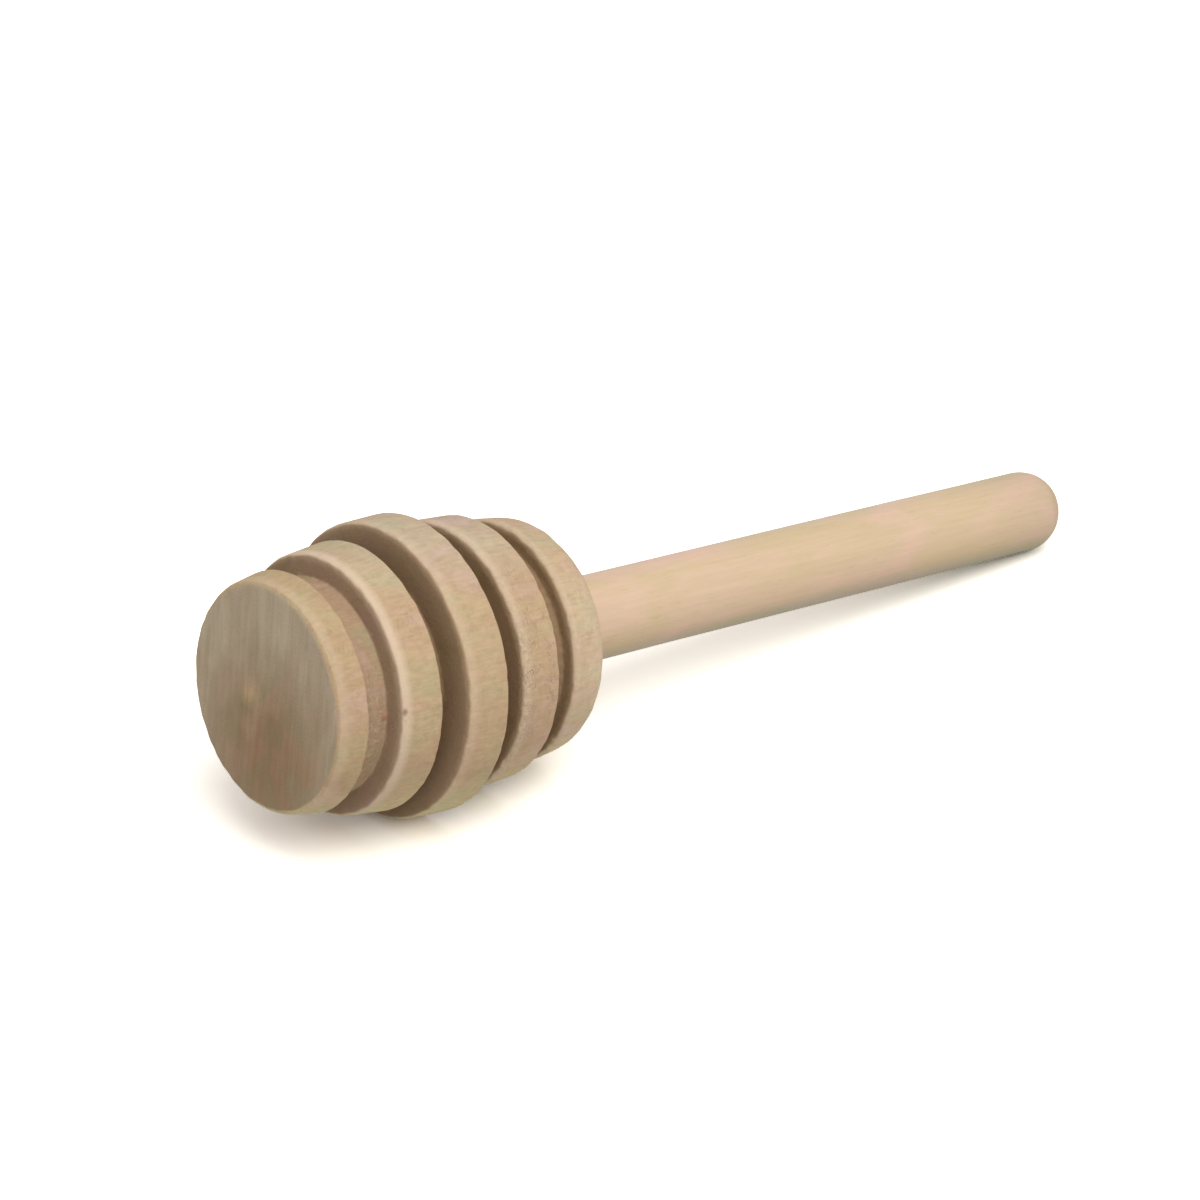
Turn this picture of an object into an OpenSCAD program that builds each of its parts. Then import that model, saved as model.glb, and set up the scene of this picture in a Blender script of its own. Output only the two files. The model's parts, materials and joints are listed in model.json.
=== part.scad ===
// Small wooden honey dipper, in millimetres.
// A turned head with five ribs is drilled from behind, and the tenon of a round handle is glued into it.
// It lies on z = 0 as on a table, on its widest rib and the end of its handle, with +X towards the tip.

/* [Whole dipper] */
// Length from the flat front face to the tip of the handle
dipper_length = 98.4; // [80:0.1:160]

/* [Head] */
// Diameter of the core at the bottom of the grooves
core_d = 19.4; // [15:0.1:20]
// Rounding of the front edge of each rib
front_edge_r = 0.7; // [0.2:0.05:0.9]
// Rounding of the rear edge of each rib
rear_edge_r = 0.25; // [0.1:0.05:0.6]
// Rounding at the foot of each groove wall
groove_foot_r = 0.3; // [0.1:0.05:0.5]
// Distance behind the front face at which a rim would run parallel to the axis
crest_station = 17; // [10:0.5:25]
// Change in the slope of the rims for each millimetre along the head
rim_curve = 0.012; // [0:0.001:0.02]

/* [Rib widths] */
// Width of the rib at the front face
rib_1_width = 3; // [1.8:0.1:5]
// Width of the second rib
rib_2_width = 4.3; // [2:0.1:7]
// Width of the third and largest rib
rib_3_width = 4.4; // [2:0.1:7]
// Width of the fourth rib
rib_4_width = 4.4; // [2:0.1:7]
// Width of the rim of the last rib, up to its rear corner
rib_5_width = 4.6; // [3.8:0.1:8]

/* [Rib diameters] */
// Diameter of the rib at the front face, at its wider edge
rib_1_d = 21.7; // [21:0.1:25]
// Diameter of the second rib, at its wider edge
rib_2_d = 24.3; // [22:0.1:28]
// Diameter of the third and largest rib, at its wider edge
rib_3_d = 27; // [23:0.1:31]
// Diameter of the fourth rib, at its wider edge
rib_4_d = 24.6; // [22:0.1:28]
// Diameter of the last rib, at its wider edge
rib_5_d = 22.6; // [22:0.1:27]

/* [Grooves] */
// Width of the groove between the first and second ribs
groove_1_width = 2.7; // [1.5:0.1:5]
// Width of the groove between the second and third ribs
groove_2_width = 1.9; // [1.5:0.1:5]
// Width of the groove between the third and fourth ribs
groove_3_width = 2.6; // [1.5:0.1:5]
// Width of the groove between the fourth and last ribs
groove_4_width = 2.4; // [1.5:0.1:5]

/* [Shoulder] */
// Rounding of the rear corner of the last rib
shoulder_r = 2.8; // [0.8:0.1:3]
// Distance that the rear face slopes back from that corner to the collar
shoulder_rise = 1.2; // [0.4:0.1:3]
// Diameter of the flat collar that the handle comes out of
collar_d = 11.2; // [11:0.1:14]

/* [Handle] */
// Diameter of the handle
handle_d = 8; // [7:0.1:10]
// Diameter of the tenon, the thinner inner end of the handle
tenon_d = 6; // [4:0.1:6.6]
// Length of the tenon, from the collar into the head
tenon_length = 15; // [8:0.5:22]
// Bevel around the inner end of the tenon
tenon_bevel = 0.8; // [0.2:0.1:1.5]

/* [Glue joint] */
// Thickness of the glue all round the tenon
glue_gap = 0.1; // [0.05:0.01:0.3]
// Depth of the glue between the end of the tenon and the foot of the hole's wall
glue_pool = 0.4; // [0.1:0.1:1]
// Angle of the drill point at the end of the hole
drill_point_angle = 118; // [90:1:140]

/* [Hidden] */
$fn = 96;

// Ribs and grooves as lists, from the front face backwards
rib_width = [rib_1_width, rib_2_width, rib_3_width, rib_4_width, rib_5_width];
rib_r = [rib_1_d, rib_2_d, rib_3_d, rib_4_d, rib_5_d] / 2;
groove_width = [groove_1_width, groove_2_width, groove_3_width, groove_4_width];
last_rib = len(rib_width) - 1;

// Station of each rib's front wall, measured back from the front face
function rib_start(i) = i == 0 ? 0 : rib_end(i - 1) + groove_width[i - 1];
function rib_end(i) = rib_start(i) + rib_width[i];

// The rims lean like chords of one long curve that crests at crest_station
function rim_slope(i) = (crest_station - (rib_start(i) + rib_end(i)) / 2) * rim_curve;
function front_r(i) = rib_r[i] - max(0, rim_slope(i)) * rib_width[i];
function rear_r(i) = rib_r[i] + min(0, rim_slope(i)) * rib_width[i];

core_r = core_d / 2;
collar_r = collar_d / 2;
head_length = rib_end(last_rib) + shoulder_rise;

handle_r = handle_d / 2;
dome_station = dipper_length - handle_r;

tenon_r = tenon_d / 2;
tenon_start = head_length - tenon_length;

bore_r = tenon_r + glue_gap;
bore_start = tenon_start - glue_pool;
drill_point = bore_r / tan(drill_point_angle / 2);

// Corners of a rib's half section as [radius, station], from the axis round to the axis
function rib_corners(i) = i < last_rib
    ? [[0, rib_start(i)], [front_r(i), rib_start(i)], [rear_r(i), rib_end(i)], [0, rib_end(i)]]
    : [[0, rib_start(i)], [front_r(i), rib_start(i)], [rear_r(i), rib_end(i)],
       [collar_r, head_length], [0, head_length]];
function rib_roundings(i) = i < last_rib
    ? [0, front_edge_r, rear_edge_r, 0]
    : [0, front_edge_r, shoulder_r, 0, 0];

// Rounding of corner b between a and c: centre of its circle and where it meets the side towards a
function unit(v) = v / norm(v);
function half_angle(a, b, c) = acos(unit(a - b) * unit(c - b)) / 2;
function round_centre(a, b, c, r) = b + unit(unit(a - b) + unit(c - b)) * r / sin(half_angle(a, b, c));
function round_start(a, b, c, r) = b + unit(a - b) * r / tan(half_angle(a, b, c));

// The corner of a rib that the whole dipper rests on, as [centre, radius] of its rounding
function resting_edge(i, k) =
    let (p = rib_corners(i), r = rib_roundings(i)[k])
    [round_centre(p[k - 1], p[k], p[k + 1], r), r];

// Tilt of the axis that lets a rounded edge and the domed tip touch one plane
function tilt_on(edge) =
    let (reach = [dome_station - edge[0][1], edge[0][0]])
    atan2(reach[1], reach[0]) - asin((handle_r - edge[1]) / norm(reach));
rest_tilt = max([for (i = [0 : last_rib]) for (k = [1, 2]) tilt_on(resting_edge(i, k))]);

// Height of the front face's centre, and the middle of the dipper's footprint
rest_height = handle_r + dome_station * sin(rest_tilt);
lowest_x = round_centre(rib_corners(0)[0], rib_corners(0)[1], rib_corners(0)[2], front_edge_r)
    * [-sin(rest_tilt), cos(rest_tilt)] - front_edge_r;
highest_x = dome_station * cos(rest_tilt) + handle_r;

// Everything is drawn standing on its front face along +Z, then laid down
module laid_down() {
    translate([-(lowest_x + highest_x) / 2, 0, rest_height])
        rotate([0, 90 + rest_tilt, 0])
            children();
}

// Outline with each convex corner rounded by its own radius
module rounded_outline(points, radii) {
    n = len(points);
    polygon([
        for (i = [0 : n - 1])
            let (a = points[(i + n - 1) % n], b = points[i], c = points[(i + 1) % n])
            each radii[i] > 0 ? [round_start(a, b, c, radii[i]), round_start(c, b, a, radii[i])] : [b]
    ]);
    for (i = [1 : n - 2])
        if (radii[i] > 0)
            translate(round_centre(points[i - 1], points[i], points[i + 1], radii[i]))
                circle(r = radii[i]);
}

// Small hollow fillets where the two walls of a groove meet the core
module groove_feet(i) {
    for (wall = [[rib_end(i), 1], [rib_start(i + 1), -1]])
        difference() {
            translate([core_r - groove_foot_r / 2, min(wall[0], wall[0] + wall[1] * groove_foot_r)])
                square([groove_foot_r * 1.5, groove_foot_r]);
            translate([core_r + groove_foot_r, wall[0] + wall[1] * groove_foot_r])
                circle(r = groove_foot_r);
        }
}

module head_section() {
    for (i = [0 : last_rib])
        rounded_outline(rib_corners(i), rib_roundings(i));
    square([core_r, rib_start(last_rib) + rib_width[last_rib] / 2]);
    for (i = [0 : last_rib - 1])
        groove_feet(i);
}

// Half section of the drilled hole, from its conical end out through the collar
module hole_section() {
    polygon([
        [0, bore_start - drill_point], [bore_r, bore_start],
        [bore_r, head_length], [0, head_length]
    ]);
}

// Half section of the tenon, with a bevel that leads it into the hole
module tenon_section() {
    polygon([
        [0, tenon_start], [tenon_r - tenon_bevel, tenon_start], [tenon_r, tenon_start + tenon_bevel],
        [tenon_r, head_length], [0, head_length]
    ]);
}

module head() {
    color("tan")
        laid_down()
            rotate_extrude()
                difference() {
                    head_section();
                    hole_section();
                }
}

// The handle seats on the collar with its shoulder, and ends in a dome
module handle() {
    color("wheat")
        laid_down() {
            rotate_extrude()
                tenon_section();
            translate([0, 0, head_length])
                cylinder(r = handle_r, h = dome_station - head_length);
            translate([0, 0, dome_station])
                sphere(r = handle_r);
        }
}

module glue_film() {
    color("khaki")
        laid_down()
            rotate_extrude()
                difference() {
                    hole_section();
                    tenon_section();
                }
}

head();
handle();
glue_film();
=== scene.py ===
import json
import math

import bpy
import numpy as np
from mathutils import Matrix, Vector


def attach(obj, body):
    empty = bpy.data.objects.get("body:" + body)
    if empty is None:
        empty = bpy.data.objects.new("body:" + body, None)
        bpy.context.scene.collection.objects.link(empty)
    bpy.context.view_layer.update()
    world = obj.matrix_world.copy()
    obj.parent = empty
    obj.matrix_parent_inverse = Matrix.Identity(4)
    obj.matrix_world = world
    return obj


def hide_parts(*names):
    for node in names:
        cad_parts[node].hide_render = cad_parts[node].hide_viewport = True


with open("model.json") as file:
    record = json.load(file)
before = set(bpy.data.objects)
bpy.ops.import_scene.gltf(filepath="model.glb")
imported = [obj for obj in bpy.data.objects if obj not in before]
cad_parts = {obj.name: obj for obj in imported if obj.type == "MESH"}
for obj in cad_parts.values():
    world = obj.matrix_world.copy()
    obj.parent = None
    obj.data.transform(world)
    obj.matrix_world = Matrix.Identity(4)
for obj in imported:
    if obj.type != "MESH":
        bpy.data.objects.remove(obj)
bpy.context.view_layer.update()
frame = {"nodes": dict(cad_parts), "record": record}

MM = 0.001

# Turned profile of the head, in millimetres from the front face backwards
CORE_R = 9.7
FRONT_EDGE_R = 0.7
REAR_EDGE_R = 0.25
GROOVE_FOOT_R = 0.3
CREST_STATION = 17.0
RIM_CURVE = 0.012
RIB_WIDTH = [3.0, 4.3, 4.4, 4.4, 4.6]
RIB_R = [10.85, 12.15, 13.5, 12.3, 11.3]
GROOVE_WIDTH = [2.7, 1.9, 2.6, 2.4]
SHOULDER_R = 2.8
SHOULDER_RISE = 1.2
COLLAR_R = 5.6
COLLAR_EDGE_R = 0.2
TENON_R = 3.0
TENON_LENGTH = 15.0
TENON_BEVEL = 0.8
GLUE_GAP = 0.1
GLUE_POOL = 0.4
DRILL_POINT_ANGLE = math.radians(118)

# Turned meshes: columns round the axis, and the space between rows, in millimetres
HEAD_COLUMNS = 560
HANDLE_COLUMNS = 200
HEAD_SPACING = 0.2
SHANK_SPACING = 0.35
HIDDEN_SPACING = 3.0

# Depths of the wear, in millimetres
WEAR = 0.03
EDGE_DENTS = 0.05
TEARS = 0.16
CORE_FUZZ = 0.07
SHANK_RIPPLE = 0.012

# Camera: seen from the front left and above, through a long lens
CAMERA_AIM = Vector((-9.92, 0, 12.26)) * MM
CAMERA_AZIMUTH = math.radians(-41.07)
CAMERA_ELEVATION = math.radians(26.44)
CAMERA_DISTANCE = 412.1 * MM
CAMERA_LENS = 135.0
SENSOR_WIDTH = 36.0

# Light: an even white surround and one large lamp, placed in metres and aimed at the origin
SURROUND = 0.6
LAMP_PLACE = Vector((-0.13, -0.5, 0.74))
LAMP_SIZE = 0.8
LAMP_POWER = 5.5

# Floor: half its width in metres, its tone as it lights the dipper, and its tone as it is seen,
# where full light is white and shade is beige
FLOOR_REACH = 3.0
FLOOR_BOUNCE = (0.52, 0.52, 0.51, 1)
FLOOR_SEEN = (1.68, 1.62, 1.53, 1)

# The part's own axis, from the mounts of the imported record
mounts = {mount["name"]: mount for mount in frame["record"]["mounts"]}
FACE = np.array(mounts["front_face"]["pos_m"])
AXIS = -np.array(mounts["front_face"]["axis"])
AXIS = AXIS / np.linalg.norm(AXIS)
SIDE = np.array([0.0, 1.0, 0.0])
UP = np.cross(AXIS, SIDE)
AXIS_TILT = math.asin(-AXIS[2])
HANDLE_R = mounts["handle_shank"]["dims"]["r_mm"]
SHANK_LENGTH = mounts["handle_shank"]["dims"]["length_mm"]


# Profiles

def rib_starts():
    starts = [0.0]
    for width, groove in zip(RIB_WIDTH, GROOVE_WIDTH):
        starts.append(starts[-1] + width + groove)
    return starts


RIB_START = rib_starts()
RIB_END = [start + width for start, width in zip(RIB_START, RIB_WIDTH)]
HEAD_LENGTH = RIB_END[-1] + SHOULDER_RISE
DOME_STATION = HEAD_LENGTH + SHANK_LENGTH


def rim_radii(i):
    """Radius of rib i at its front and rear edges."""
    slope = (CREST_STATION - (RIB_START[i] + RIB_END[i]) / 2) * RIM_CURVE
    fall = abs(slope) * RIB_WIDTH[i]
    return (RIB_R[i] - fall, RIB_R[i]) if slope > 0 else (RIB_R[i], RIB_R[i] - fall)


def rounded_path(corners, spacing, arc_steps=5):
    """Points along a path of (station, radius, rounding) corners, and how far each is on a rounding.

    The weights run from 0 on the straight parts to 1 in the middle of each rounding.
    """
    path = []
    last = len(corners) - 1
    for i, (s, r, rounding) in enumerate(corners):
        here = np.array([s, r])
        if rounding == 0 or i in (0, last):
            path.append((here, 0.0))
            continue
        a = np.array(corners[i - 1][:2]) - here
        c = np.array(corners[i + 1][:2]) - here
        a /= np.linalg.norm(a)
        c /= np.linalg.norm(c)
        half = math.acos(np.clip(a @ c, -1, 1)) / 2
        centre = here + (a + c) / np.linalg.norm(a + c) * rounding / math.sin(half)
        start = here + a * rounding / math.tan(half) - centre
        end = here + c * rounding / math.tan(half) - centre
        for k in range(arc_steps + 1):
            ray = start * (1 - k / arc_steps) + end * (k / arc_steps)
            path.append((centre + ray / np.linalg.norm(ray) * rounding, math.sin(math.pi * k / arc_steps)))
    points, weights = [], []
    for (p, wp), (q, wq) in zip(path, path[1:]):
        steps = max(1, math.ceil(np.linalg.norm(q - p) / spacing))
        for k in range(steps):
            points.append(p + (q - p) * k / steps)
            weights.append(wp + (wq - wp) * k / steps)
    points.append(path[-1][0])
    weights.append(path[-1][1])
    return np.array(points), np.array(weights)


def head_corners():
    """Corners of the head's outside, from the middle of the front face round to the collar."""
    corners = [(0, 0, 0)]
    last = len(RIB_WIDTH) - 1
    for i in range(last + 1):
        front, rear = rim_radii(i)
        if i > 0:
            corners.append((RIB_START[i], CORE_R, GROOVE_FOOT_R))
        corners.append((RIB_START[i], front, FRONT_EDGE_R))
        corners.append((RIB_END[i], rear, REAR_EDGE_R if i < last else SHOULDER_R))
        if i < last:
            corners.append((RIB_END[i], CORE_R, GROOVE_FOOT_R))
    return corners + [(HEAD_LENGTH, COLLAR_R, COLLAR_EDGE_R)]


def hole_corners():
    bore_r = TENON_R + GLUE_GAP
    start = HEAD_LENGTH - TENON_LENGTH - GLUE_POOL
    point = bore_r / math.tan(DRILL_POINT_ANGLE / 2)
    return [(HEAD_LENGTH, bore_r, 0), (start, bore_r, 0), (start - point, 0, 0)]


def tenon_corners():
    start = HEAD_LENGTH - TENON_LENGTH
    return [(start, 0, 0), (start, TENON_R - TENON_BEVEL, 0), (start + TENON_BEVEL, TENON_R, 0),
            (HEAD_LENGTH, TENON_R, 0)]


def shank_corners():
    dome = [(DOME_STATION + HANDLE_R * math.sin(a), HANDLE_R * math.cos(a), 0)
            for a in np.radians(np.arange(0, 90, 3))]
    return [(HEAD_LENGTH, HANDLE_R, 0)] + dome + [(DOME_STATION + HANDLE_R, 0, 0)]


# Noise for the shapes

GRID_CELLS = 64
GRID = np.random.default_rng(7).random((GRID_CELLS,) * 3) * 2 - 1

# Turns the grid, so that its rows of lumps don't line up with the ribs
GRID_TURN = np.array([[0.8, 0.36, 0.48], [-0.6, 0.48, 0.64], [0.0, -0.8, 0.6]])


def lumps(points, size):
    """Smooth noise from -1 to 1 at points in millimetres, with lumps of the given size along each axis."""
    p = points / np.array(size) @ GRID_TURN
    low = np.floor(p).astype(int)
    t = p - low
    t = t * t * (3 - 2 * t)
    total = np.zeros(p.shape[:-1])
    for corner in np.ndindex(2, 2, 2):
        weight = np.prod(np.where(corner, t, 1 - t), axis=-1)
        cell = (low + corner) % GRID_CELLS
        total += weight * GRID[cell[..., 0], cell[..., 1], cell[..., 2]]
    return total


# Turned meshes

def turned_rows(points, columns):
    """Angles, and each row's points in the part's own axes, in millimetres: along, side and up."""
    angles = np.arange(columns) * 2 * math.pi / columns
    along = np.repeat(points[:, :1], columns, axis=1)
    side = points[:, 1:] * np.sin(angles)
    up = points[:, 1:] * np.cos(angles)
    return angles, np.stack([along, side, up], axis=-1)


def row_normals(points):
    """Outward direction of each profile point, as (along, outwards)."""
    step = np.gradient(points, axis=0)
    normals = np.stack([-step[:, 1], step[:, 0]], axis=1)
    return normals / np.maximum(np.linalg.norm(normals, axis=1, keepdims=True), 1e-9)


def sunk(rows, angles, normals, depth):
    """Rows moved against their normals by depth millimetres."""
    moved = rows.copy()
    moved[..., 0] -= depth * normals[:, :1]
    moved[..., 1] -= depth * normals[:, 1:] * np.sin(angles)
    moved[..., 2] -= depth * normals[:, 1:] * np.cos(angles)
    return moved


def ring_faces(a, b):
    """Faces between two neighbouring rings of point numbers, one of which may be a single point."""
    n = max(len(a), len(b))
    faces = []
    for k in range(n):
        m = (k + 1) % n
        if len(a) == 1:
            faces.append((a[0], b[m], b[k]))
        elif len(b) == 1:
            faces.append((a[k], a[m], b[0]))
        else:
            faces.append((a[k], a[m], b[m], b[k]))
    return faces


def turned_mesh(name, shells):
    """Closed mesh made of shells of rows. A row at the axis becomes one point."""
    verts, rings = [], []
    for row in np.concatenate(shells):
        on_axis = np.abs(row[:, 1:]).max() < 1e-6
        row = row[:1] if on_axis else row
        rings.append(list(range(len(verts), len(verts) + len(row))))
        verts.extend(row)
    faces = [face for a, b in zip(rings, rings[1:]) for face in ring_faces(a, b)]
    local = np.array(verts) * MM
    world = FACE + local[:, :1] * AXIS + local[:, 1:2] * SIDE + local[:, 2:] * UP
    mesh = bpy.data.meshes.new(name)
    mesh.from_pydata(world.tolist(), [], faces)
    mesh.update()
    mesh.polygons.foreach_set("use_smooth", [True] * len(mesh.polygons))
    piece = bpy.data.objects.new(name, mesh)
    bpy.context.scene.collection.objects.link(piece)
    return piece


def head_depth(points, weights, rows):
    """How far the turned surface lies below the true profile, from wear, torn fibres and chatter."""
    station = points[:, :1]
    in_groove = (station > RIB_END[0] - 0.5) & (station < RIB_START[-1] + 0.5)
    on_core = in_groove & (np.abs(points[:, 1:] - CORE_R) < 0.15)
    depth = WEAR + WEAR * lumps(rows, (9, 5, 5))
    depth += weights[:, None] * EDGE_DENTS * lumps(rows, (0.7, 0.8, 0.8))
    torn = np.clip(lumps(rows + 40, (4, 3, 3)) + 0.15, 0, 1)
    fibre = np.clip(lumps(rows + 11, (0.35, 0.5, 0.5)) - 0.25, 0, 1)
    rear_ribs = np.clip(station - RIB_START[3] + 0.5, 0.15, 1)
    depth += TEARS * torn * fibre * rear_ribs
    depth += on_core * CORE_FUZZ * (1 + lumps(rows + 23, (0.5, 0.6, 0.6)))
    return np.maximum(depth, 0.0)


def make_head():
    points, weights = rounded_path(head_corners(), HEAD_SPACING)
    angles, rows = turned_rows(points, HEAD_COLUMNS)
    normals = row_normals(points)
    rows = sunk(rows, angles, normals, head_depth(points, weights, rows))
    hole, _ = rounded_path(hole_corners(), HIDDEN_SPACING)
    _, hole_rows = turned_rows(hole, HEAD_COLUMNS)
    return turned_mesh("turned_head", [rows, hole_rows])


def make_handle():
    tenon, _ = rounded_path(tenon_corners(), HIDDEN_SPACING)
    _, tenon_rows = turned_rows(tenon, HANDLE_COLUMNS)
    points, _ = rounded_path(shank_corners(), SHANK_SPACING)
    angles, rows = turned_rows(points, HANDLE_COLUMNS)
    depth = WEAR + WEAR * lumps(rows, (14, 4, 4)) + SHANK_RIPPLE * lumps(rows + 5, (3, 0.8, 0.8))
    # The shank keeps its true size for the first millimetre out of the collar
    clear_of_collar = np.clip(points[:, :1] - HEAD_LENGTH, 0, 1)
    rows = sunk(rows, angles, row_normals(points), np.maximum(depth, 0) * clear_of_collar)
    return turned_mesh("round_handle", [tenon_rows, rows])


# Materials

class Nodes:
    """A material's node tree, with short calls for the nodes used here."""

    def __init__(self, name):
        self.material = bpy.data.materials.new(name)
        self.material.use_nodes = True
        self.tree = self.material.node_tree
        self.shader = self.tree.nodes["Principled BSDF"]

    def add(self, kind, settings=(), **inputs):
        """A new node. An input is given by its name, or as i0, i1 and so on by its number."""
        made = self.tree.nodes.new(kind)
        for key, value in dict(settings).items():
            setattr(made, key, value)
        for key, value in inputs.items():
            numbered = key[0] == "i" and key[1:].isdigit()
            self.set(made.inputs[int(key[1:]) if numbered else key], value)
        return made

    def set(self, socket, value):
        if isinstance(value, bpy.types.NodeSocket):
            self.tree.links.new(value, socket)
        else:
            socket.default_value = value

    def math(self, operation, a, b=0.0):
        return self.add("ShaderNodeMath", {"operation": operation}, i0=a, i1=b).outputs[0]

    def times(self, a, b):
        return self.math("MULTIPLY", a, b)

    def axes(self):
        """Millimetres from the middle of the front face: x back along the axis, y to the side, z up."""
        place = self.add("ShaderNodeTexCoord").outputs["Object"]
        start = [-float(FACE @ axis) / MM for axis in (AXIS, SIDE, UP)]
        turned = self.add("ShaderNodeMapping", {"vector_type": "POINT"}, Vector=place, Location=start,
                          Rotation=(0, -AXIS_TILT, 0), Scale=(1 / MM, 1 / MM, 1 / MM))
        return turned.outputs[0]

    def stretched(self, vector, scale):
        return self.add("ShaderNodeVectorMath", {"operation": "MULTIPLY"}, i0=vector, i1=scale).outputs[0]

    def noise(self, vector, scale=1.0, detail=3.0, roughness=0.5, distortion=0.0):
        made = self.add("ShaderNodeTexNoise", Vector=vector, Scale=scale, Detail=detail,
                        Roughness=roughness, Distortion=distortion)
        return made.outputs[0]

    def ramp(self, factor, *stops):
        made = self.add("ShaderNodeValToRGB", Fac=factor)
        elements = made.color_ramp.elements
        while len(elements) < len(stops):
            elements.new(0.5)
        for element, (position, colour) in zip(elements, stops):
            element.position = position
            element.color = (*colour, 1) if isinstance(colour, tuple) else (colour, colour, colour, 1)
        return made.outputs[0]

    def length(self, vector):
        return self.add("ShaderNodeVectorMath", {"operation": "LENGTH"}, i0=vector).outputs["Value"]

    def spot(self, place, centre, reach, core=0.2):
        """1 at a centre in millimetres, fading to 0 at its reach along each axis."""
        offset = self.add("ShaderNodeVectorMath", {"operation": "SUBTRACT"}, i0=place, i1=centre).outputs[0]
        distance = self.length(self.stretched(offset, [1 / r for r in reach]))
        return self.ramp(distance, (core, 1.0), (1.0, 0.0))

    def band(self, value, start, end, soft=0.3):
        """1 where a value in millimetres lies between start and end, and 0 elsewhere on the head."""
        share = self.math("DIVIDE", value, HEAD_LENGTH)
        edges = [edge / HEAD_LENGTH for edge in (start - soft, start, end, end + soft)]
        return self.ramp(share, *zip(edges, (0.0, 1.0, 1.0, 0.0)))

    def mix(self, factor, a, b, blend="MIX"):
        made = self.add("ShaderNodeMix", {"data_type": "RGBA", "blend_type": blend}, i0=factor, i6=a, i7=b)
        return made.outputs[2]

    def tinted(self, colour, place, spots):
        """A colour multiplied by the tint of each spot, given as (centre, reach, core, tint)."""
        for centre, reach, core, tint in spots:
            colour = self.mix(self.spot(place, centre, reach, core), colour, (*tint, 1), "MULTIPLY")
        return colour

    def bump(self, height, distance, strength=1.0, normal=None):
        made = self.add("ShaderNodeBump", Height=height, Distance=distance, Strength=strength)
        if normal is not None:
            self.set(made.inputs["Normal"], normal)
        return made.outputs[0]


def linear(red, green, blue):
    """Scene colour of a picture colour given from 0 to 255."""
    out = []
    for value in (red, green, blue):
        value /= 255
        out.append(value / 12.92 if value <= 0.04045 else ((value + 0.055) / 1.055) ** 2.4)
    return tuple(out)


def facing_back(nodes):
    """-1 where the surface faces the front, 1 where it faces the back, 0 where it runs with the fibres."""
    normal = nodes.add("ShaderNodeTexCoord").outputs["Normal"]
    along = nodes.add("ShaderNodeVectorMath", {"operation": "DOT_PRODUCT"}, i0=normal, i1=tuple(AXIS))
    return along.outputs["Value"]


def rim_colour(nodes, place):
    """Side grain: tan with olive and pink blotches, fine streaks along the fibres and a close mottle."""
    blotch = nodes.noise(nodes.stretched(place, (0.16, 0.26, 0.26)), detail=3.0, distortion=0.7)
    colour = nodes.ramp(blotch, (0.32, linear(190, 172, 134)), (0.46, linear(198, 171, 134)),
                        (0.56, linear(196, 165, 131)), (0.68, linear(204, 172, 146)))
    fibre = nodes.noise(nodes.stretched(place, (0.5, 3.4, 3.4)), detail=5.0, roughness=0.62)
    colour = nodes.mix(0.5, colour, nodes.ramp(fibre, (0.34, 0.76), (0.64, 1.04)), "MULTIPLY")
    mottle = nodes.noise(place, scale=1.5, detail=4.0, roughness=0.65)
    colour = nodes.mix(0.4, colour, nodes.ramp(mottle, (0.34, 0.80), (0.5, 0.97), (0.66, 1.08)), "MULTIPLY")
    # Paler below as painted bounce light from the floor, greyer on top, pinker towards the shoulder and a
    # little duller on the first rib
    colour = nodes.tinted(colour, place, (
        ((17.0, -6.0, -12.0), (40.0, 9.0, 9.0), 0.3, (1.45, 1.66, 1.6)),
        ((17.0, 0.0, 13.0), (15.0, 12.0, 6.0), 0.4, (1.03, 1.12, 1.28)),
        ((31.5, -10.0, -1.0), (8.0, 18.0, 18.0), 0.25, (1.28, 1.38, 1.58)),
        ((1.5, 0.0, 0.0), (4.5, 40.0, 40.0), 0.3, (0.94, 0.94, 0.91))))
    return colour, fibre, mottle


def face_colour(nodes, place):
    """End grain of the front face: soft upright streaks, a brown patch in the middle and a pale spot."""
    across = nodes.stretched(place, (0.02, 0.30, 0.05))
    streaks = nodes.noise(across, detail=5.0, roughness=0.5, distortion=0.5)
    colour = nodes.ramp(streaks, (0.30, linear(170, 152, 128)), (0.44, linear(190, 173, 147)),
                        (0.54, linear(180, 160, 134)), (0.70, linear(186, 168, 145)))
    upright = nodes.stretched(place, (0.02, 1.7, 0.14))
    lines = nodes.noise(upright, detail=4.0, roughness=0.6, distortion=0.3)
    colour = nodes.mix(0.5, colour, nodes.ramp(lines, (0.32, 0.84), (0.62, 1.05)), "MULTIPLY")

    # The patches have wandering outlines
    wander = nodes.noise(place, scale=0.35, detail=3.0)
    drifted = nodes.add("ShaderNodeVectorMath", {"operation": "MULTIPLY_ADD"}, i0=wander,
                        i1=(0, 5, 5), i2=place).outputs[0]
    low = nodes.spot(drifted, (0, 2.5, -8.5), (20, 14.0, 9.0), 0.3)
    colour = nodes.mix(nodes.times(low, 0.5), colour, (*linear(148, 124, 100), 1))
    brown = nodes.spot(drifted, (0, 1.3, -2.2), (20, 11.5, 11.0), 0.25)
    brown = nodes.times(brown, nodes.ramp(lines, (0.36, 1.0), (0.66, 0.8)))
    redder = nodes.ramp(wander, (0.44, linear(142, 119, 86)), (0.56, linear(154, 119, 90)))
    colour = nodes.mix(brown, colour, redder)
    pale = nodes.spot(place, (0, 2.1, -0.3), (20, 1.9, 1.6), 0.0)
    pale = nodes.times(pale, nodes.ramp(lines, (0.4, 0.4), (0.6, 0.8)))
    return nodes.mix(pale, colour, (*linear(206, 172, 130), 1))


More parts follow.
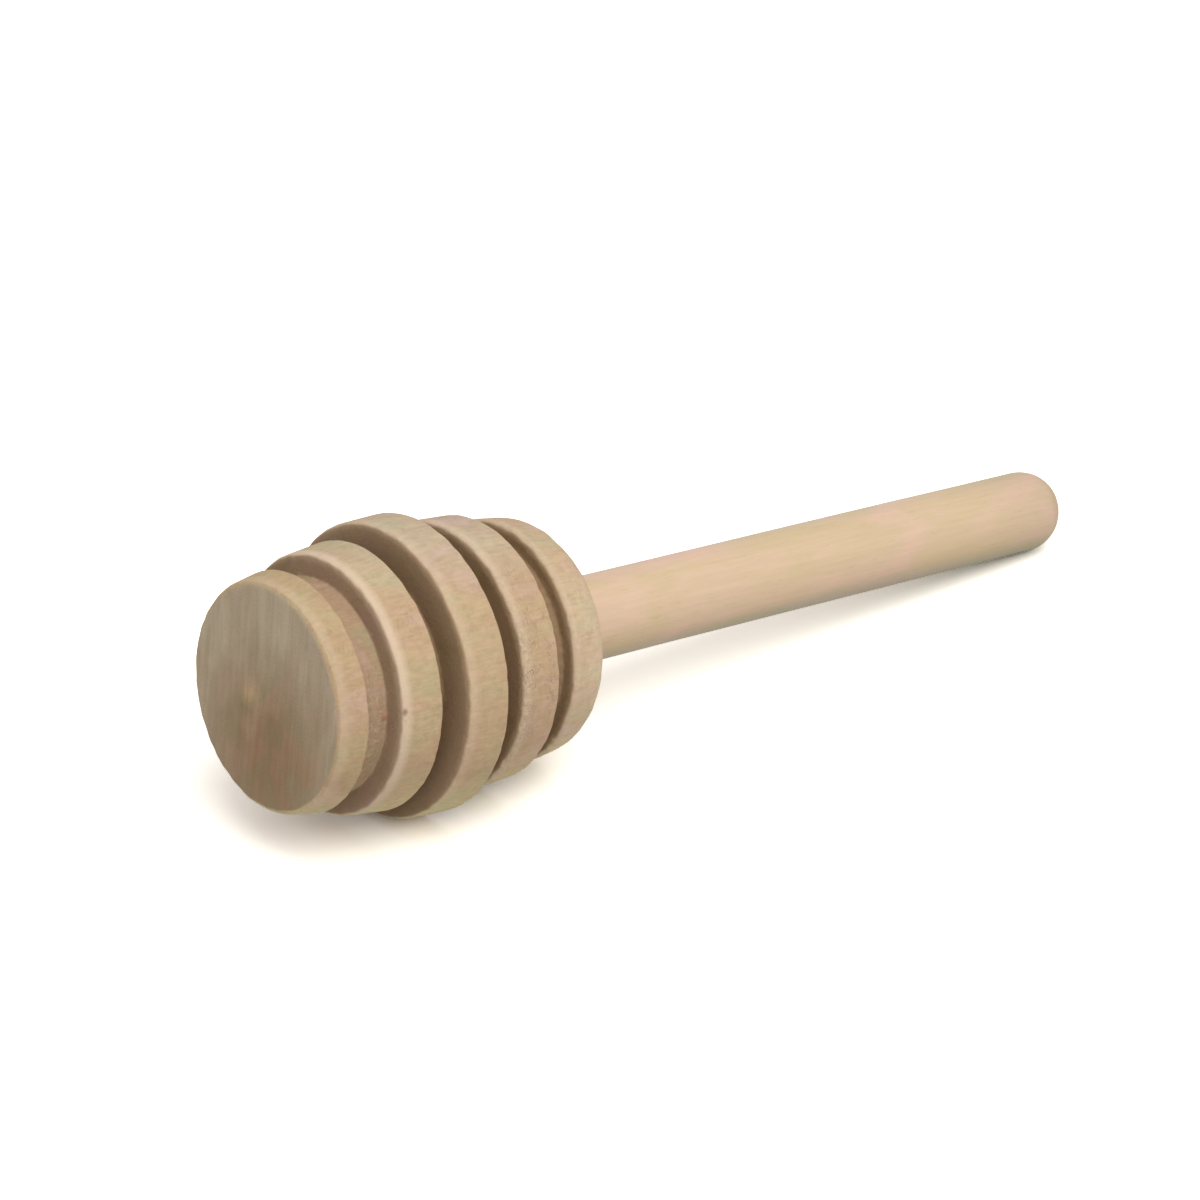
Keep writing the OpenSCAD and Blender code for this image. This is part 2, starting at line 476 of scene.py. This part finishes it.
def wall_grain_and_shade(nodes, place):
    """End grain down in the grooves, darkened below the face's tone by painted shade."""
    wide = nodes.stretched(place, (0.3, 0.25, 0.25))
    cloud = nodes.noise(wide, detail=4.0, roughness=0.6, distortion=0.4)
    return nodes.ramp(cloud, (0.32, linear(150, 124, 96)), (0.5, linear(160, 134, 108)),
                      (0.68, linear(158, 130, 110)))


def torn_lines(nodes, place):
    """Sparse wriggly tears across the fibres, mostly on one side of the fourth rib."""
    short = nodes.stretched(place, (1.3, 0.6, 0.6))
    wriggle = nodes.noise(short, detail=2.0, roughness=0.6, distortion=1.2)
    from_line = nodes.math("ABSOLUTE", nodes.math("SUBTRACT", wriggle, 0.5))
    line = nodes.ramp(from_line, (0.0, 1.0), (0.02, 0.0))
    broken = nodes.ramp(nodes.noise(place, scale=0.8, detail=1.0), (0.42, 0.0), (0.54, 1.0))
    torn_side = nodes.spot(place, (21.0, -11.6, 3.0), (3.2, 6.0, 9.0), 0.5)
    elsewhere = nodes.ramp(nodes.noise(place, scale=0.22, detail=1.0), (0.46, 0.0), (0.62, 0.5))
    where = nodes.math("MAXIMUM", torn_side, elsewhere)
    return nodes.times(nodes.times(line, broken), where)


def frayed(nodes, place, station):
    """Pale frayed fibres at the bottom of the first groove and along the fourth rib's front edge."""
    fray = nodes.noise(nodes.stretched(place, (2.2, 1.6, 1.6)), detail=4.0, roughness=0.7)
    fray = nodes.ramp(fray, (0.5, 0.0), (0.62, 1.0))
    first_groove = nodes.band(station, RIB_END[0] + 0.2, RIB_START[1] - 0.6, 0.4)
    fourth_rib = nodes.band(station, RIB_START[3] + 0.5, RIB_START[3] + 1.2, 0.5)
    near_side = nodes.spot(place, (14.0, -11.6, 1.0), (16.0, 9.0, 12.0), 0.5)
    where = nodes.times(near_side, nodes.math("MAXIMUM", first_groove, fourth_rib))
    return nodes.times(fray, where)


def front_edges(nodes, station):
    """How pale each rib's front edge is painted, from rubbed fibres and a painted highlight on the
    rounding, strongest on the three middle ribs.
    """
    total = 0.0
    for start, strength in zip(RIB_START, (0.25, 0.7, 0.25, 0.45, 0.3)):
        edge = nodes.band(station, start, start + FRONT_EDGE_R, 0.7)
        total = nodes.math("MAXIMUM", total, nodes.times(edge, strength))
    return total


def small_marks(nodes, place, colour):
    """A dark nick on the second rib's edge and a reddish stain in the first groove."""
    nick = nodes.spot(place, (6.0, -11.6, 1.8), (0.5, 0.35, 0.45))
    colour = nodes.mix(nodes.times(nick, 0.7), colour, (*linear(112, 78, 60), 1))
    stain = nodes.spot(place, (5.4, -9.7, 0.7), (0.5, 0.5, 0.5))
    return nodes.mix(nodes.times(stain, 0.5), colour, (*linear(168, 96, 74), 1))


def head_wood():
    nodes = Nodes("head_wood")
    place = nodes.axes()
    station = nodes.add("ShaderNodeSeparateXYZ", Vector=place).outputs["X"]
    radius = nodes.length(nodes.stretched(place, (0, 1, 1)))
    along = facing_back(nodes)
    square_on = nodes.math("ABSOLUTE", along)
    in_groove = nodes.band(station, RIB_END[0] / 2, RIB_START[-1] + 1.0)
    end_grain = nodes.mix(in_groove, nodes.ramp(square_on, (0.86, 0.0), (0.99, 1.0)),
                          nodes.ramp(square_on, (0.6, 0.0), (0.86, 1.0)))
    rim, fibre, mottle = rim_colour(nodes, place)

    # The bottoms of the grooves carry painted shade: a little in the pale, fuzzy first groove and deep in
    # the ones behind it
    behind = nodes.math("GREATER_THAN", station, RIB_END[1])
    groove_floor_shade = nodes.mix(behind, (0.84, 0.82, 0.84, 1), (0.6, 0.54, 0.48, 1))
    on_core = nodes.times(in_groove, nodes.math("LESS_THAN", radius, CORE_R + 0.25))
    rim = nodes.mix(on_core, rim, groove_floor_shade, "MULTIPLY")
    torn = torn_lines(nodes, place)
    rim = nodes.mix(nodes.times(torn, 0.4), rim, (*linear(158, 124, 92), 1))
    # Front edges paled by rubbed fibres and by a painted highlight on their rounding
    rubbed_and_highlit = nodes.times(front_edges(nodes, station), nodes.ramp(along, (0.0, 1.0), (0.3, 0.0)))
    rubbed_and_highlit = nodes.times(rubbed_and_highlit, nodes.math("GREATER_THAN", radius, CORE_R + 0.5))
    rim = nodes.mix(rubbed_and_highlit, rim, (*linear(222, 198, 172), 1))
    fray = frayed(nodes, place, station)
    rim = nodes.mix(nodes.times(fray, 0.4), rim, (*linear(222, 200, 176), 1))

    # Painted shade: the walls behind the second rib are darker still
    wall = nodes.mix(behind, wall_grain_and_shade(nodes, place), (0.93, 0.92, 0.82, 1), "MULTIPLY")
    end = nodes.mix(in_groove, face_colour(nodes, place), wall)
    pores = nodes.noise(nodes.stretched(place, (0.5, 5.0, 5.0)), detail=2.0)
    end = nodes.mix(0.35, end, nodes.ramp(pores, (0.32, 0.7), (0.46, 1.0)), "MULTIPLY")
    colour = small_marks(nodes, place, nodes.mix(end_grain, rim, end))

    nodes.set(nodes.shader.inputs["Base Color"], colour)
    nodes.set(nodes.shader.inputs["Roughness"], nodes.ramp(fibre, (0.3, 0.66), (0.7, 0.84)))
    tool_marks = nodes.noise(nodes.stretched(place, (5.0, 0.05, 0.05)), detail=2.0)
    normal = nodes.bump(tool_marks, 0.03 * MM, 0.5)
    normal = nodes.bump(fibre, 0.05 * MM, 0.8, normal)
    normal = nodes.bump(mottle, 0.06 * MM, 0.6, normal)
    normal = nodes.bump(torn, 0.05 * MM, 0.8, normal)
    normal = nodes.bump(fray, 0.07 * MM, 0.8, normal)
    nodes.set(nodes.shader.inputs["Normal"], nodes.bump(pores, 0.03 * MM, 0.6, normal))
    nodes.set(nodes.shader.inputs["Specular IOR Level"], 0.2)
    return nodes.material


def handle_wood():
    nodes = Nodes("handle_wood")
    place = nodes.axes()
    blotch = nodes.noise(nodes.stretched(place, (0.09, 0.28, 0.28)), detail=3.0, distortion=0.9)
    colour = nodes.ramp(blotch, (0.32, linear(212, 188, 150)), (0.47, linear(216, 189, 156)),
                        (0.58, linear(220, 190, 162)), (0.7, linear(226, 190, 166)))
    fibre = nodes.noise(nodes.stretched(place, (0.12, 2.6, 2.6)), detail=5.0, roughness=0.6)
    colour = nodes.mix(0.3, colour, nodes.ramp(fibre, (0.35, 0.84), (0.65, 1.03)), "MULTIPLY")
    flecks = nodes.noise(nodes.stretched(place, (0.7, 5.0, 5.0)), detail=2.0)
    colour = nodes.mix(0.3, colour, nodes.ramp(flecks, (0.28, 0.74), (0.38, 1.0)), "MULTIPLY")
    # Painted shade underneath in olive-grey, a painted bluish sky reflection along the top, and duller at
    # the tip
    colour = nodes.tinted(colour, place, (
        ((75.0, -1.5, -4.4), (75.0, 4.5, 4.2), 0.5, (0.66, 0.83, 0.86)),
        ((75.0, 2.2, 3.4), (75.0, 3.0, 3.0), 0.2, (1.0, 1.07, 1.18)),
        ((97.0, 0.0, 2.0), (14.0, 8.0, 8.0), 0.2, (0.86, 0.89, 0.88))))
    end_grain = nodes.ramp(facing_back(nodes), (0.2, 0.0), (0.9, 1.0))
    colour = nodes.mix(nodes.times(end_grain, 0.8), colour, (*linear(172, 144, 110), 1))
    nodes.set(nodes.shader.inputs["Base Color"], colour)
    nodes.set(nodes.shader.inputs["Roughness"], nodes.ramp(fibre, (0.3, 0.52), (0.7, 0.68)))
    normal = nodes.bump(flecks, 0.02 * MM, 0.6)
    nodes.set(nodes.shader.inputs["Normal"], nodes.bump(fibre, 0.03 * MM, 0.6, normal))
    nodes.set(nodes.shader.inputs["Specular IOR Level"], 0.2)
    return nodes.material


def dried_glue():
    nodes = Nodes("dried_glue")
    cloud = nodes.noise(nodes.axes(), scale=0.8, detail=3.0)
    nodes.set(nodes.shader.inputs["Base Color"],
              nodes.ramp(cloud, (0.35, linear(216, 196, 150)), (0.65, linear(232, 216, 178))))
    nodes.set(nodes.shader.inputs["Roughness"], nodes.ramp(cloud, (0.3, 0.35), (0.7, 0.5)))
    nodes.set(nodes.shader.inputs["Normal"], nodes.bump(cloud, 0.05 * MM, 0.5))
    return nodes.material


def paint(piece, material):
    piece.data.materials.clear()
    piece.data.materials.append(material)


# Surroundings

def camera_direction():
    return Vector((math.sin(CAMERA_AZIMUTH) * math.cos(CAMERA_ELEVATION),
                   -math.cos(CAMERA_AZIMUTH) * math.cos(CAMERA_ELEVATION),
                   math.sin(CAMERA_ELEVATION)))


def make_camera():
    data = bpy.data.cameras.new("camera")
    data.sensor_width = SENSOR_WIDTH
    data.lens = CAMERA_LENS
    camera = bpy.data.objects.new("camera", data)
    bpy.context.scene.collection.objects.link(camera)
    direction = camera_direction()
    camera.location = CAMERA_AIM + direction * CAMERA_DISTANCE
    camera.rotation_euler = direction.to_track_quat("Z", "Y").to_euler()
    bpy.context.scene.camera = camera


def make_floor():
    nodes = Nodes("pale_floor")
    tree = nodes.tree
    tree.nodes.remove(nodes.shader)
    path = nodes.add("ShaderNodeLightPath")
    seen = nodes.math("MAXIMUM", path.outputs["Is Camera Ray"], path.outputs["Is Glossy Ray"])
    seen = nodes.math("MAXIMUM", seen, path.outputs["Is Transmission Ray"])
    tone = nodes.mix(seen, FLOOR_BOUNCE, FLOOR_SEEN)
    diffuse = nodes.add("ShaderNodeBsdfDiffuse", Color=tone)
    nodes.set(tree.nodes["Material Output"].inputs["Surface"], diffuse.outputs[0])
    corners = [(-FLOOR_REACH, -FLOOR_REACH, 0), (FLOOR_REACH, -FLOOR_REACH, 0),
               (FLOOR_REACH, FLOOR_REACH, 0), (-FLOOR_REACH, FLOOR_REACH, 0)]
    mesh = bpy.data.meshes.new("floor")
    mesh.from_pydata(corners, [], [(0, 1, 2, 3)])
    floor = bpy.data.objects.new("floor", mesh)
    bpy.context.scene.collection.objects.link(floor)
    paint(floor, nodes.material)


def make_surround():
    world = bpy.data.worlds.new("studio")
    bpy.context.scene.world = world
    world.use_nodes = True
    background = world.node_tree.nodes["Background"]
    background.inputs["Color"].default_value = (1, 1, 1, 1)
    background.inputs["Strength"].default_value = SURROUND
    bpy.context.scene.view_settings.view_transform = "Standard"


def make_lamp():
    data = bpy.data.lights.new("key", "AREA")
    data.size = LAMP_SIZE
    data.energy = LAMP_POWER
    lamp = bpy.data.objects.new("key", data)
    bpy.context.scene.collection.objects.link(lamp)
    lamp.location = LAMP_PLACE
    lamp.rotation_euler = LAMP_PLACE.to_track_quat("Z", "Y").to_euler()


make_camera()
make_surround()
make_lamp()
make_floor()

head = make_head()
paint(head, head_wood())
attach(head, "root")
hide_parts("head")

handle = make_handle()
paint(handle, handle_wood())
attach(handle, "root")
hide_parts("handle")

paint(frame["nodes"]["glue_film"], dried_glue())
